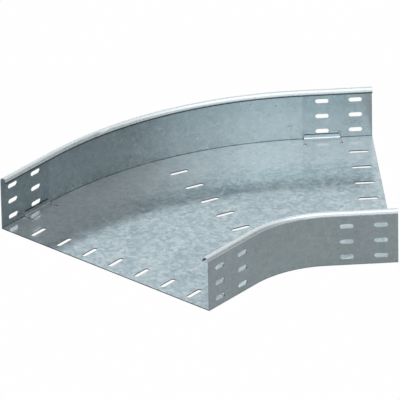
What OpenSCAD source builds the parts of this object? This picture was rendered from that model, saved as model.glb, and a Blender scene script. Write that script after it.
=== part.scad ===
// Horizontal bend for a perforated cable tray, made of galvanised steel sheet.
// A flat floor plate lies between two upright walls that follow the curve.
// The top edge of each wall is rolled inwards over the tray, and four lugs of the
// floor plate, one by each end of each wall, are turned up and lie against the walls.
// The bend is drawn round the centre of its curve, with its middle at +Y and with its
// left-hand half as the mirror image of the right-hand half. What belongs to an end is
// drawn with that lead along +X. The finished bend lies with its right-hand lead along +X.
// Lengths are in millimetres and angles in degrees.

/* [Tray] */
// Width over the outside faces of the walls
tray_w = 400; // [200:10:600]
// Height from the underside of the floor to the top of the rolled edge
side_h = 85; // [60:1:110]
// Thickness of the sheet
sheet_t = 1.25; // [0.75:0.25:2]

/* [Bend] */
// Angle that the tray turns through
bend_angle = 45; // [30:5:90]
// Radius of the curve at the tray's side of the inner wall
inner_r = 150; // [100:5:600]
// Length of the straight lead at each end
lead_l = 105; // [100:1:250]

/* [Rolled edge] */
// Width over the rolled top edge
roll_w = 11.5; // [8:0.5:16]
// Length of the straight lip below the roll
roll_lip = 1.75; // [0.5:0.25:4]

/* [Wall slots] */
// Width of a wall slot, for an M6 bolt
wall_slot_w = 7; // [5:0.5:9]
// Length of a wall slot over its round ends
wall_slot_l = 20; // [12:1:30]
// Distance from the end of the tray to the first column of slots
wall_slot_first = 25; // [18:1:30]
// Distance between the two columns of slots
wall_slot_pitch = 50; // [40:1:55]
// Height of the lowest row of slots
wall_row_first = 13; // [12.5:0.5:20]
// Distance between rows of slots
wall_row_pitch = 25; // [15:1:30]
// Least distance from the top of the wall down to the middle of a slot
wall_row_top = 20; // [18:1:30]

/* [Floor slots] */
// Width of a floor slot
floor_slot_w = 7; // [5:0.5:9]
// Length of a floor slot over its round ends
floor_slot_l = 30; // [20:1:40]
// Distance between floor slots across the tray
floor_slot_pitch = 50; // [40:1:60]
// Least distance from the outside of a wall to the middle of a floor slot
floor_slot_edge = 50; // [42:1:80]
// Distance from the end of the tray to the middle of its row of floor slots
floor_slot_first = 25; // [22:1:28]

/* [Lugs] */
// Distance from the end of the tray to a lug
lug_first = 48; // [46:1:60]
// Distance from a lug to the start of the curve
lug_last = 2.5; // [2:0.5:8]
// Height of a lug above the underside of the floor
lug_h = 8.5; // [7.5:0.5:8.5]
// Rise of the floor towards the wall along a lug, where the lug is set up
lug_rise = 1.25; // [0.5:0.25:1.5]
// Radius inside the fold of a lug
lug_fold_r = 1.25; // [0.75:0.25:1.5]
// Radius of the top corners of a lug
lug_corner_r = 2; // [1:0.5:2]
// Length of the relief cut beside a lug, from the wall to the middle of its round end
relief_l = 18.75; // [14:0.25:22]
// Width of the relief cut
relief_w = 1; // [0.6:0.2:1.4]
// Diameter of the round end of the relief cut
relief_d = 4; // [3:0.5:5]

/* [Fit] */
// Gap between the edge of the floor and a wall, away from the lugs
floor_gap = 0.4; // [0.2:0.1:1]

/* [Hidden] */

// Facets of the curve of the bend, of the small rounds and of the holes
bend_fn = 360;
round_fn = 48;
hole_fn = 32;
// How far a cutting tool reaches past the sheet on each side
reach = 2;
// How far the root of a lug reaches into the floor
root_overlap = 1;

// Radii of the curve at the backs of the two walls and at the tray's side of the outer one
inner_back = inner_r - sheet_t;
outer_back = inner_back + tray_w;
outer_face = outer_back - sheet_t;
roll_r = roll_w / 2;
roll_z = side_h - roll_r;

wall_columns = [for (k = [0, 1]) lead_l - wall_slot_first - k * wall_slot_pitch];
wall_rows = [for (z = [wall_row_first : wall_row_pitch : side_h - wall_row_top]) z];

// As many floor slots as fit between the edges, spread evenly about the middle of the tray
floor_slots = floor((tray_w - 2 * floor_slot_edge) / floor_slot_pitch) + 1;
floor_slot_0 = inner_back + (tray_w - (floor_slots - 1) * floor_slot_pitch) / 2;
floor_radii = [for (k = [0 : floor_slots - 1]) floor_slot_0 + k * floor_slot_pitch];

lug_x = [lug_last, lead_l - lug_first];
lug_l = lug_x[1] - lug_x[0];
// Depth that the fold of a lug takes up from the wall, and the height where its leg starts
fold = sheet_t + lug_fold_r;
leg_z = lug_rise + fold;
// Distance from the wall to the line where a lug leaves the floor
lug_root = relief_l - relief_d / 2;

// The frame's origin is the middle of the bend's bounding box, at the underside of the floor
box_x = [-outer_back * sin(bend_angle) - lead_l * cos(bend_angle), lead_l];
box_y = [inner_back * cos(bend_angle) - lead_l * sin(bend_angle), outer_back];
box_middle = [(box_x[0] + box_x[1]) / 2, (box_y[0] + box_y[1]) / 2, 0];

// Turns the finished piece from the middle of the bend, at +Y, to the right-hand lead
// along +X, and moves it from the centre of the curve to the frame
module to_frame() {
    translate(-box_middle)
        rotate([0, 0, bend_angle / 2]) children();
}

// Places its children in the right-hand half and their mirror image in the left-hand half
module in_both_halves() {
    rotate([0, 0, -bend_angle / 2]) children();
    mirror([1, 0, 0])
        rotate([0, 0, -bend_angle / 2]) children();
}

// Sweeps a section, drawn as radius and height, along lead, curve and lead
module along_bend() {
    rotate([0, 0, 90 - bend_angle / 2])
        rotate_extrude(angle = bend_angle, $fn = bend_fn) children();
    in_both_halves()
        rotate([90, 0, 90])
            linear_extrude(lead_l) children();
}

// Round-ended slot in the plane, along X
module slot(l, w) {
    square([l - w, w], center = true);
    for (side = [-1, 1])
        translate([side * (l - w) / 2, 0]) circle(d = w, $fn = hole_fn);
}

// Section of a wall from its outside face, with the top edge rolled towards the tray
module wall_section() {
    square([sheet_t, roll_z]);
    translate([roll_r, roll_z])
        intersection() {
            difference() {
                circle(r = roll_r, $fn = round_fn);
                circle(r = roll_r - sheet_t, $fn = round_fn);
            }
            translate([-roll_r, 0]) square([roll_w, roll_r]);
        }
    translate([roll_w - sheet_t, roll_z - roll_lip]) square([sheet_t, roll_lip]);
}

// Slots for the coupling bolts, two columns of rows at each end, cut through a wall
module wall_slots(face_r) {
    in_both_halves()
        for (x = wall_columns, z = wall_rows)
            translate([x, face_r, z])
                rotate([90, 0, 0])
                    linear_extrude(2 * (sheet_t + reach), center = true)
                        slot(wall_slot_l, wall_slot_w);
}

// Row of floor slots across the tray, each along the run of the tray
module floor_slot_row() {
    for (r = floor_radii)
        translate([0, r, -reach])
            linear_extrude(sheet_t + 2 * reach) slot(floor_slot_l, floor_slot_w);
}

// Section of a lug by a wall at Y = 0, with the tray towards +Y: the part of the floor
// that rises to the wall, and the fold that turns it upright
module lug_section() {
    polygon([
        [lug_root + root_overlap, 0],
        [lug_root + root_overlap, sheet_t],
        [lug_root, sheet_t],
        [fold, lug_rise + sheet_t],
        [fold, lug_rise],
        [lug_root, 0],
    ]);
    translate([fold, leg_z])
        intersection() {
            difference() {
                circle(r = fold, $fn = round_fn);
                circle(r = lug_fold_r, $fn = round_fn);
            }
            translate([-fold, -fold]) square(fold);
        }
}

// Outline of the upright leg of a lug, from the fold up
module lug_leg() {
    translate([0, leg_z]) square([lug_l, lug_h - lug_corner_r - leg_z]);
    translate([lug_corner_r, leg_z]) square([lug_l - 2 * lug_corner_r, lug_h - leg_z]);
    for (x = [lug_corner_r, lug_l - lug_corner_r])
        translate([x, lug_h - lug_corner_r]) circle(r = lug_corner_r, $fn = round_fn);
}

// Lug by a wall at Y = 0: the rising part, the fold and the upright leg
module lug() {
    translate([lug_x[0], 0, 0])
        rotate([90, 0, 90])
            linear_extrude(lug_l) lug_section();
    translate([lug_x[0], sheet_t, 0])
        rotate([90, 0, 0])
            linear_extrude(sheet_t) lug_leg();
}

// Opening in the flat floor, in place of which a lug rises
module lug_window() {
    translate([lug_x[0], -reach, -reach])
        cube([lug_l, reach + lug_root, sheet_t + 2 * reach]);
}

// Relief cuts at the two sides of a lug, from the wall to their round ends
module lug_relief() {
    for (x = [lug_x[0] - relief_w / 2, lug_x[1] + relief_w / 2])
        translate([x, 0, -reach])
            linear_extrude(sheet_t + 2 * reach) {
                translate([-relief_w / 2, -reach]) square([relief_w, relief_l + reach]);
                translate([0, relief_l]) circle(d = relief_d, $fn = hole_fn);
            }
}

// Sets its children, drawn from a wall at Y = 0, against the tray's side of both walls
module at_both_walls() {
    translate([0, inner_r, 0]) children();
    translate([0, outer_face, 0]) mirror([0, 1, 0]) children();
}

// Flat floor between the walls, with the windows that its lugs rise in
module floor_blank() {
    difference() {
        along_bend()
            translate([inner_r + floor_gap, 0])
                square([outer_face - inner_r - 2 * floor_gap, sheet_t]);
        in_both_halves() at_both_walls() lug_window();
    }
}

// Floor with its three rows of slots and its four turned-up lugs
module floor_plate() {
    color([0.74, 0.78, 0.81])
        to_frame()
            difference() {
                union() {
                    floor_blank();
                    in_both_halves() at_both_walls() lug();
                }
                in_both_halves() {
                    translate([lead_l - floor_slot_first, 0, 0]) floor_slot_row();
                    at_both_walls() lug_relief();
                }
                floor_slot_row();
            }
}

// Wall on the outside of the curve
module outer_wall() {
    color([0.66, 0.71, 0.75])
        to_frame()
            difference() {
                along_bend()
                    translate([outer_back, 0]) mirror([1, 0]) wall_section();
                wall_slots(outer_face);
            }
}

// Wall on the inside of the curve
module inner_wall() {
    color([0.58, 0.63, 0.67])
        to_frame()
            difference() {
                along_bend()
                    translate([inner_back, 0]) wall_section();
                wall_slots(inner_r);
            }
}

floor_plate();
outer_wall();
inner_wall();
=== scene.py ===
# %% [markdown]
# A cable tray bend in galvanised steel sheet. A flat floor lies between two upright walls
# that follow a 45 degree curve. The sheet was zinc coated before it was cut and folded, so
# every face has the same finish: a pale blue-grey metal with a fine mottle of zinc crystals.
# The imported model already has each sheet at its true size, with its slots, folds and rolled
# edges. So nothing is modelled a second time here. The work of this script is the finish
# of the sheets, the light, and the camera.

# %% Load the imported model
import math

import bpy
from mathutils import Matrix, Vector

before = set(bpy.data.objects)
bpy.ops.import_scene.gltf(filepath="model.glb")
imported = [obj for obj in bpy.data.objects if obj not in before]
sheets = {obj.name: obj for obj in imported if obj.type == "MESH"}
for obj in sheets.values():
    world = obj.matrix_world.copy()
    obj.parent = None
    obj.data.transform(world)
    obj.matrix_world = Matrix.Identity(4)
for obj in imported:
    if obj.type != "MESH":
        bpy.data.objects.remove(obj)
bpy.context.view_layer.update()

print("sheets:", ", ".join(sorted(sheets)))

# %% [markdown]
# A finish is a small sum: so much crystal, so much cloud, a little darker in the corners.
# Placing nodes by hand hides that sum, and long lists of links are hard to read. This
# class wraps one socket, so that the sum is written as Python, and each operator adds the
# node it needs. A vector goes through Vector Math and a colour through Mix, because a
# plain Math node would turn either of them into one grey number.

# %% A socket that can be used in a sum
class Wire:
    """One output of a node tree. A sum on it adds the nodes that work the sum out."""

    def __init__(self, tree, socket=None):
        self.tree = tree
        self.socket = socket

    def node(self, kind, settings=None, sockets=None, output=0):
        """Adds a node: its settings first, then the values or links of its sockets."""
        made = self.tree.nodes.new(kind)
        for name, value in (settings or {}).items():
            setattr(made, name, value)
        for name, value in (sockets or {}).items():
            target = pick(made.inputs, name)
            if isinstance(value, Wire):
                self.tree.links.new(value.socket, target)
            else:
                target.default_value = value
        return Wire(self.tree, pick(made.outputs, output)) if made.outputs else None

    def sum(self, operation, a, b):
        """A Math node, or a Vector Math node where one side is a vector."""
        sides = [a, b]
        if all(not isinstance(s, Wire) or s.socket.type == "VALUE" for s in sides):
            return self.node("ShaderNodeMath", {"operation": operation}, dict(enumerate(sides)))
        sides = [s if isinstance(s, (Wire, tuple)) else (s, s, s) for s in sides]
        return self.node("ShaderNodeVectorMath", {"operation": operation}, dict(enumerate(sides)))

    def __add__(self, other):
        return self.sum("ADD", self, other)

    def __radd__(self, other):
        return self.sum("ADD", other, self)

    def __sub__(self, other):
        return self.sum("SUBTRACT", self, other)

    def __rsub__(self, other):
        return self.sum("SUBTRACT", other, self)

    def __mul__(self, other):
        return self.sum("MULTIPLY", self, other)

    def __rmul__(self, other):
        return self.sum("MULTIPLY", other, self)


def pick(sockets, name):
    """The socket of that name or number, among those that the node's settings show."""
    shown = [s for s in sockets if s.enabled]
    if isinstance(name, int):
        return shown[name]
    return next(s for s in shown if s.name == name)


print("sums on sockets are ready")

# %% [markdown]
# A few kinds of node come back in every finish below, so each has a short name here: a
# ramp that stretches a range, soft noise, the cells that stand for crystals, the blend of
# two colours, and a dot product, which says how far a direction leans towards another.

# %% Short names for the nodes that come back
def stretch(value, low, high, to_low=0.0, to_high=1.0):
    """Takes the range from low to high to another one, with soft ends."""
    sockets = {"Value": value, "From Min": low, "From Max": high, "To Min": to_low, "To Max": to_high}
    return value.node("ShaderNodeMapRange", {"interpolation_type": "SMOOTHSTEP"}, sockets)


def noise(place, scale, detail, output="Fac"):
    """Soft noise, with so many blots in a metre."""
    return place.node("ShaderNodeTexNoise", {}, {"Vector": place, "Scale": scale, "Detail": detail}, output)


def channels(colour):
    """The red, green and blue of a colour, as three numbers of their own."""
    parts = colour.node("ShaderNodeSeparateColor", {}, {"Color": colour})
    return [Wire(colour.tree, socket) for socket in parts.socket.node.outputs]


def dot(a, b):
    """How far vector a leans towards vector b."""
    return a.node("ShaderNodeVectorMath", {"operation": "DOT_PRODUCT"}, {0: a, 1: b}, "Value")


def blend(share, a, b):
    """Colour b over colour a, by a share from 0 to 1."""
    return share.node("ShaderNodeMix", {"data_type": "RGBA"}, {"Factor": share, "A": a, "B": b}, "Result")


def new_material(name):
    """A material with an empty node tree, and a wire to start its nodes from."""
    made = bpy.data.materials.new(name)
    made.use_nodes = True
    made.node_tree.nodes.clear()
    return made, Wire(made.node_tree)


print("ramp, noise, channels, dot product and blend are ready")

# %% [markdown]
# Some marks depend on where a point lies across the tray, so the finish needs one number
# for that: the distance from the centre of the curve. In the straight leads the distance
# is measured square to the lead. Taking away what runs along either lead does both at once,
# because between the leads nothing runs along them.

# %% Where a point lies across the tray
CURVE_CENTRE = (0.1786, -0.2898, 0.0)
RIGHT_LEAD = (1.0, 0.0, 0.0)
LEFT_LEAD = (-0.7071, -0.7071, 0.0)
FLAT = (1.0, 1.0, 0.0)


def across_tray(place):
    """Distance from the centre of the curve, square to the leads, and depth into a lead."""
    arm = (place - CURVE_CENTRE) * FLAT
    depth = 0.0
    for lead in (RIGHT_LEAD, LEFT_LEAD):
        along = place.node("ShaderNodeMath", {"operation": "MAXIMUM"}, {0: dot(arm, lead), 1: 0.0})
        spread = place.node("ShaderNodeCombineXYZ", {}, {"X": along, "Y": along, "Z": along})
        arm = arm - spread * lead
        depth = depth + along
    return place.node("ShaderNodeVectorMath", {"operation": "LENGTH"}, {0: arm}, "Value"), depth


print("places across the tray are ready")

# %% [markdown]
# Zinc freezes on the sheet in thin crystals, each lying its own way. On sheet that went
# through rollers afterwards they are small, some 6 to 9 mm across, and run into each other,
# so the eye sees a soft mottle and not a mosaic. Each crystal mirrors the room a little
# differently. One set of bent, soft cells drives how pale the zinc is and how sharp its
# mirror is. Fine flecks break the cells up, and a broad cloud under them stands for the
# thickness of the coating. The floor is duller and whiter than the walls. Along the outer
# wall it has painted light: paler zinc that stands in for the light falling there. The
# rolled edges are duller, as the roll stretched their zinc until it went dull, and have a
# painted highlight of near white; inside them is painted shade, near black. The outer
# wall's straight leads have painted shade, darker than its curve for the way their flat
# faces mirror the room, with a step where they begin. The corners have painted shade, and
# are rougher. A sheet has no zinc where it was cut, so the cut faces of the floor are dark
# steel. The lips under the rolls and the tops of the lug legs are dark steel as well, partly
# bare cut edge and partly a painted shadow line. The lugs have a painted highlight along
# their fold and the walls' tone above it.

# %% The galvanised finish
CRYSTALS_IN_A_METRE = 180.0
WANDERS_IN_A_METRE = 120.0
WANDER_OF_CRYSTALS = 0.01
FLECKS_IN_A_METRE = 340.0
CLOUDS_IN_A_METRE = 16.0
GRAINS_IN_A_METRE = 900.0

PALE_FROM = 0.42
PALE_TO = 0.50
# Painted light: paler zinc on the floor along the outer wall, standing in for the light that falls there.
PAINTED_LIGHT_ZINC = (0.86, 0.95, 1.0, 1.0)
ROLL_FROM = 0.0785
ROLL_TO = 0.0805
# Painted highlight: near white colour on the rolled edges.
ROLL_HIGHLIGHT = (0.88, 0.97, 1.0, 1.0)
ROLLED_METAL = 0.45
# Painted shade: near black inside the rolls, where hardly any light reaches.
SHADE_INSIDE_A_ROLL = (0.03, 0.04, 0.045, 1.0)

SHEET_TOP = 0.00125
# Dark bare steel of the cut faces, also used as a painted shadow line on the lips under the rolls and the
# tops of the lug legs.
CUT_STEEL_AND_SHADOW_LINE = (0.08, 0.10, 0.11, 1.0)
# Painted highlight along the lug folds.
FOLD_HIGHLIGHT = (0.86, 0.95, 1.0, 1.0)
LEG_ZINC = (0.50, 0.59, 0.62, 1.0)

EDGE_WIDTH = 0.0006
WORN_EDGE = (0.50, 0.56, 0.60, 1.0)
CORNER_REACH = 0.003
# Painted shade in the corners.
CORNER_SHADE = (0.10, 0.13, 0.15, 1.0)


def floor_marks(height, radius, level, colour, metal):
    """Cut faces of the floor, the painted highlight on the folds of its lugs, their darker legs, and a
    painted shadow line on the tops of the legs.
    """
    upright = stretch(level, 0.75, 0.3) * stretch(level, -0.75, -0.3)
    cut = upright * stretch(height, SHEET_TOP + 0.0002, SHEET_TOP)
    raised = stretch(height, 0.0014, 0.0024)
    leg = stretch(height, 0.0034, 0.0042)
    # Painted highlight: the raised flap of each lug is coloured pale.
    colour = blend(leg, blend(raised, colour, FOLD_HIGHLIGHT), LEG_ZINC)
    # Above 7.9 mm the tops of the lug legs are coloured dark as well: a painted shadow line where they meet
    # the wall.
    colour = blend(cut + stretch(height, 0.0079, 0.0083), colour, CUT_STEEL_AND_SHADOW_LINE)
    return colour, metal + raised * 0.15


def wall_marks(height, radius, level, colour, metal):
    """The dark lip below a roll, which stands between the faces of the walls."""
    between = stretch(radius, 0.153, 0.156) * stretch(radius, 0.544, 0.541)
    # Painted shadow line: the lip below each roll is coloured dark steel, partly its bare cut edge, partly
    # the shade under the roll.
    return blend(between * stretch(height, ROLL_TO, ROLL_FROM), colour, CUT_STEEL_AND_SHADOW_LINE), metal


def galvanised(name, deep, pale, mottle, cloudiness, wall_light, lead_shade, metal, roughness, marks):
    """Zinc on sheet, between a deep and a pale tone, with the strengths of its patterns."""
    made, start = new_material(name)
    place = start.node("ShaderNodeTexCoord", output="Object")
    bent = place + (noise(place, WANDERS_IN_A_METRE, 3.0, "Color") - 0.5) * WANDER_OF_CRYSTALS
    cells = {"Vector": bent, "Scale": CRYSTALS_IN_A_METRE, "Smoothness": 0.6}
    crystal = start.node("ShaderNodeTexVoronoi", {"feature": "SMOOTH_F1"}, cells, "Color")
    paleness, gloss, _ = channels(crystal)
    flecks = noise(bent, FLECKS_IN_A_METRE, 2.0) - 0.5
    cloud = noise(place, CLOUDS_IN_A_METRE, 3.0) - 0.5
    grain = noise(place, GRAINS_IN_A_METRE, 1.0) - 0.5
    radius, depth = across_tray(place)
    # Painted light along the outer wall, broken up by the flecks.
    painted_light_by_wall = stretch(radius, PALE_FROM, PALE_TO) * (wall_light + flecks * wall_light * 1.2)
    # Painted shade: the straight leads are darker than the curve, for the different way their flat faces
    # mirror the room.
    painted_lead_shade = stretch(depth, 0.0, 0.002) * lead_shade

    share = 0.5 + (paleness - 0.5) * mottle + flecks * mottle * 1.6 + cloud * cloudiness
    colour = blend(share - painted_lead_shade, deep, pale)
    colour = blend(painted_light_by_wall, colour, PAINTED_LIGHT_ZINC)

    height = Wire(start.tree, start.node("ShaderNodeSeparateXYZ", {}, {0: place}).socket.node.outputs["Z"])
    rolled = stretch(height, ROLL_FROM, ROLL_TO)
    # Painted highlight: the roll is coloured near white.
    colour = blend(rolled, colour, ROLL_HIGHLIGHT)

    faces = start.node("ShaderNodeNewGeometry", output="Normal")
    level = dot(faces, (0.0, 0.0, 1.0))
    # Painted shade: the downward faces inside each roll are coloured near black.
    colour = blend(rolled * stretch(level, -0.05, -0.3), colour, SHADE_INSIDE_A_ROLL)
    rounded = start.node("ShaderNodeBevel", {"samples": 4}, {"Radius": EDGE_WIDTH})
    edge = stretch(dot(faces, rounded), 0.97, 0.85, 0.0, 0.6)
    colour = blend(edge, colour, WORN_EDGE)
    colour, metal = marks(height, radius, level, colour, metal)

    open_air = start.node("ShaderNodeAmbientOcclusion", {"samples": 8}, {"Distance": CORNER_REACH}, "AO")
    # Painted shade: where little open air is left, in the corners, the colour is darkened; the roughness
    # rises there too.
    corner = stretch(open_air, 0.75, 0.45, 0.0, 0.9)
    colour = blend(corner, colour, CORNER_SHADE)

    relief = start.node("ShaderNodeBump", {}, {"Strength": 1.0, "Distance": 1.0, "Height": grain * 0.00003})
    sockets = {
        "Base Color": colour,
        "Metallic": metal + rolled * (ROLLED_METAL - metal),
        "Roughness": roughness + (gloss - 0.5) * 0.12 + flecks * 0.1 + corner * 0.3 + rolled * 0.1,
        "Normal": relief,
    }
    finish = start.node("ShaderNodeBsdfPrincipled", {}, sockets)
    start.node("ShaderNodeOutputMaterial", {}, {"Surface": finish})
    print(f"{name}: {len(made.node_tree.nodes)} nodes")
    return made


def wear(sheet, finish):
    """Gives a sheet its finish."""
    sheet.data.materials.clear()
    sheet.data.materials.append(finish)


FLOOR_DEEP = (0.43, 0.57, 0.65, 1.0)
FLOOR_PALE = (0.81, 0.96, 1.0, 1.0)
WALL_DEEP = (0.54, 0.62, 0.64, 1.0)
WALL_PALE = (0.75, 0.82, 0.84, 1.0)
# Painted shade: the inner wall is the same zinc as the outer wall, but given darker tones for the light it
# does not get.
SHADED_INNER_DEEP = (0.46, 0.55, 0.57, 1.0)
SHADED_INNER_PALE = (0.64, 0.72, 0.74, 1.0)

wear(sheets["floor_plate"], galvanised("galvanised_floor", FLOOR_DEEP, FLOOR_PALE, 0.8, 0.6, 0.6, 0.0, 0.6, 0.15, floor_marks))
wear(sheets["outer_wall"], galvanised("galvanised_outer_wall", WALL_DEEP, WALL_PALE, 0.45, 0.5, 0.0, 0.4, 0.95, 0.22, wall_marks))
wear(sheets["inner_wall"], galvanised("galvanised_inner_wall", SHADED_INNER_DEEP, SHADED_INNER_PALE, 0.45, 0.5, 0.0, 0.0, 0.95, 0.22, wall_marks))

# %% [markdown]
# The bend lies on a wide white floor. To the camera the floor is white, with a trace of
# the object's shadow. To the metal it is a pale grey, as white paper is in the shade of
# the thing that stands on it. So the floor mixes its true, lit colour with plain white, and
# the kind of ray chooses the share of each. Through the narrow cuts beside the lugs hardly
# any light reaches it, so where little open air is left above it, the white is taken away.

# %% The floor
FLOOR_RADIUS = 20.0
FLOOR_GREY = (0.42, 0.43, 0.44, 1.0)
WHITE = (1.0, 1.0, 1.0, 1.0)
WHITE_TO_CAMERA = 0.99
WHITE_TO_METAL = 0.17
NARROW_CUT = 0.003


def make_floor():
    """A wide disc at the height that the object stands on."""
    bpy.ops.mesh.primitive_circle_add(vertices=96, radius=FLOOR_RADIUS, fill_type="NGON")
    floor = bpy.context.object
    floor.name = "studio_floor"
    floor.location.z = -0.0002
    made, start = new_material("white_floor")
    rays = start.node("ShaderNodeLightPath", output="Is Camera Ray")
    is_glossy = Wire(start.tree, rays.socket.node.outputs["Is Glossy Ray"])
    is_through = Wire(start.tree, rays.socket.node.outputs["Is Transmission Ray"])
    open_air = start.node("ShaderNodeAmbientOcclusion", {"samples": 8}, {"Distance": NARROW_CUT}, "AO")
    in_the_open = stretch(open_air, 0.25, 0.65)
    to_camera = rays * in_the_open * WHITE_TO_CAMERA
    share = to_camera + is_glossy * WHITE_TO_METAL + is_through * WHITE_TO_METAL
    lit = start.node("ShaderNodeBsdfDiffuse", {}, {"Color": FLOOR_GREY})
    plain = start.node("ShaderNodeEmission", {}, {"Color": WHITE, "Strength": 1.0})
    both = start.node("ShaderNodeMixShader", {}, {0: share, 1: lit, 2: plain})
    start.node("ShaderNodeOutputMaterial", {}, {"Surface": both})
    floor.data.materials.append(made)
    return floor


print("floor:", make_floor().name)

# %% [markdown]
# Bare metal shows the room more than it shows itself. The room here is a dark studio with
# seven large soft lamps: a wide one low behind the bend, which the floor of the tray mirrors,
# one low in front, which the outer wall mirrors, and three high ones that whiten the rolled
# edges. Nothing stands towards +X, so the left half of the outer wall, which faces that
# way, stays dark. Each lamp is a soft spot on the sky, written as how far a ray leans
# towards it. That is softer and has less noise than real lamps. The camera sees plain white
# in place of the room.

# %% The room
LAMPS = {
    "low behind": (90, 8, 1.0),
    "low behind, to the left": (120, 8, 1.1),
    "low in front": (270, 8, 1.1),
    "low in front, to the right": (300, 8, 0.5),
    "high behind, to the right": (60, 60, 0.9),
    "high in front": (300, 60, 1.85),
    "right above": (0, 90, 0.9),
}
LAMP_SPREAD = math.cos(math.radians(35.0))
BRIGHTEST = 4.0


def make_room():
    """The light from all round, as a world."""
    world = bpy.data.worlds.new("studio")
    world.use_nodes = True
    world.node_tree.nodes.clear()
    bpy.context.scene.world = world
    start = Wire(world.node_tree)
    way = start.node("ShaderNodeTexCoord", output="Generated")
    light = 0.0
    for turn, height, strength in LAMPS.values():
        turn, height = math.radians(turn), math.radians(height)
        lamp = (math.cos(height) * math.cos(turn), math.cos(height) * math.sin(turn), math.sin(height))
        light = light + stretch(dot(way, lamp), LAMP_SPREAD, 1.0) * strength
    dark = start.node("ShaderNodeBackground", {}, {"Color": WHITE, "Strength": 0.0})
    bright = start.node("ShaderNodeBackground", {}, {"Color": WHITE, "Strength": BRIGHTEST})
    lit = start.node("ShaderNodeMixShader", {}, {0: light * (1.0 / BRIGHTEST), 1: dark, 2: bright})
    plain = start.node("ShaderNodeBackground", {}, {"Color": WHITE, "Strength": 1.0})
    seen = start.node("ShaderNodeLightPath", output="Is Camera Ray")
    both = start.node("ShaderNodeMixShader", {}, {0: seen, 1: lit, 2: plain})
    start.node("ShaderNodeOutputWorld", {}, {"Surface": both})
    return world


print("room:", make_room().name, "with", len(LAMPS), "lamps")

# %% [markdown]
# The bend was seen from far off with a long lens, so its edges stay almost parallel. The
# camera stands 11.5 m away, 28 degrees up, and rolls by one degree. Its place is worked out
# from those angles and from the point that it looks at.

# %% The camera
LOOKS_AT = Vector((0.012, 0.08205, 0.0))
TURN = math.radians(-3.857)
HEIGHT_ANGLE = math.radians(27.87)
ROLL = math.radians(-1.095)
CAMERA_FAR = 11.5712
LENS = 706.9


def make_camera():
    """A camera at an angle round the object, at an angle above it, with its roll."""
    back = Vector((
        math.sin(TURN) * math.cos(HEIGHT_ANGLE),
        -math.cos(TURN) * math.cos(HEIGHT_ANGLE),
        math.sin(HEIGHT_ANGLE),
    ))
    right = (-back).cross(Vector((0, 0, 1))).normalized()
    up = back.cross(right)
    across = right * math.cos(ROLL) + up * math.sin(ROLL)
    upward = up * math.cos(ROLL) - right * math.sin(ROLL)
    data = bpy.data.cameras.new("camera")
    data.lens = LENS
    data.sensor_width = 36.0
    data.clip_start = 0.1
    data.clip_end = 100.0
    camera = bpy.data.objects.new("camera", data)
    camera.matrix_world = Matrix((across, upward, back)).transposed().to_4x4()
    camera.location = LOOKS_AT + back * CAMERA_FAR
    bpy.context.scene.collection.objects.link(camera)
    bpy.context.scene.camera = camera
    return camera


print("camera at", [round(c, 3) for c in make_camera().location])

# %% [markdown]
# The view transform is the plain one, so a colour renders as it is written.

# %% Colour
bpy.context.scene.view_settings.view_transform = "Standard"
